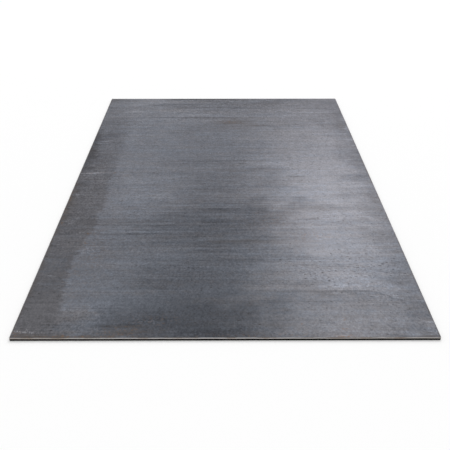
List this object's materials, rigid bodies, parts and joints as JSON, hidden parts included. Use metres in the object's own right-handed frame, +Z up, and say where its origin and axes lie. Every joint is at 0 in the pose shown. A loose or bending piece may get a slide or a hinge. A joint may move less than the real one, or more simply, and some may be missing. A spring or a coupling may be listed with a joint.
{
  "type": "steel plate",
  "caption": "Flat rectangular hot-rolled steel plate with mill scale and sheared edges, raw stock for cutting, welding or cladding.",
  "frame": {"origin": "middle of the underside, on the floor that the plate lies on", "axes": "+X across the width, +Y along the length, +Z up through the thickness"},
  "size_m": [1, 2, 0.008],
  "materials": {
    "mill_scale": "blue-grey mill scale with fine streaks across the width, a dark band along one long side and brown rust by the sheared edges"
  },
  "bodies": {
    "root": {"steel_plate": "mill_scale"}
  },
  "joints": []
}
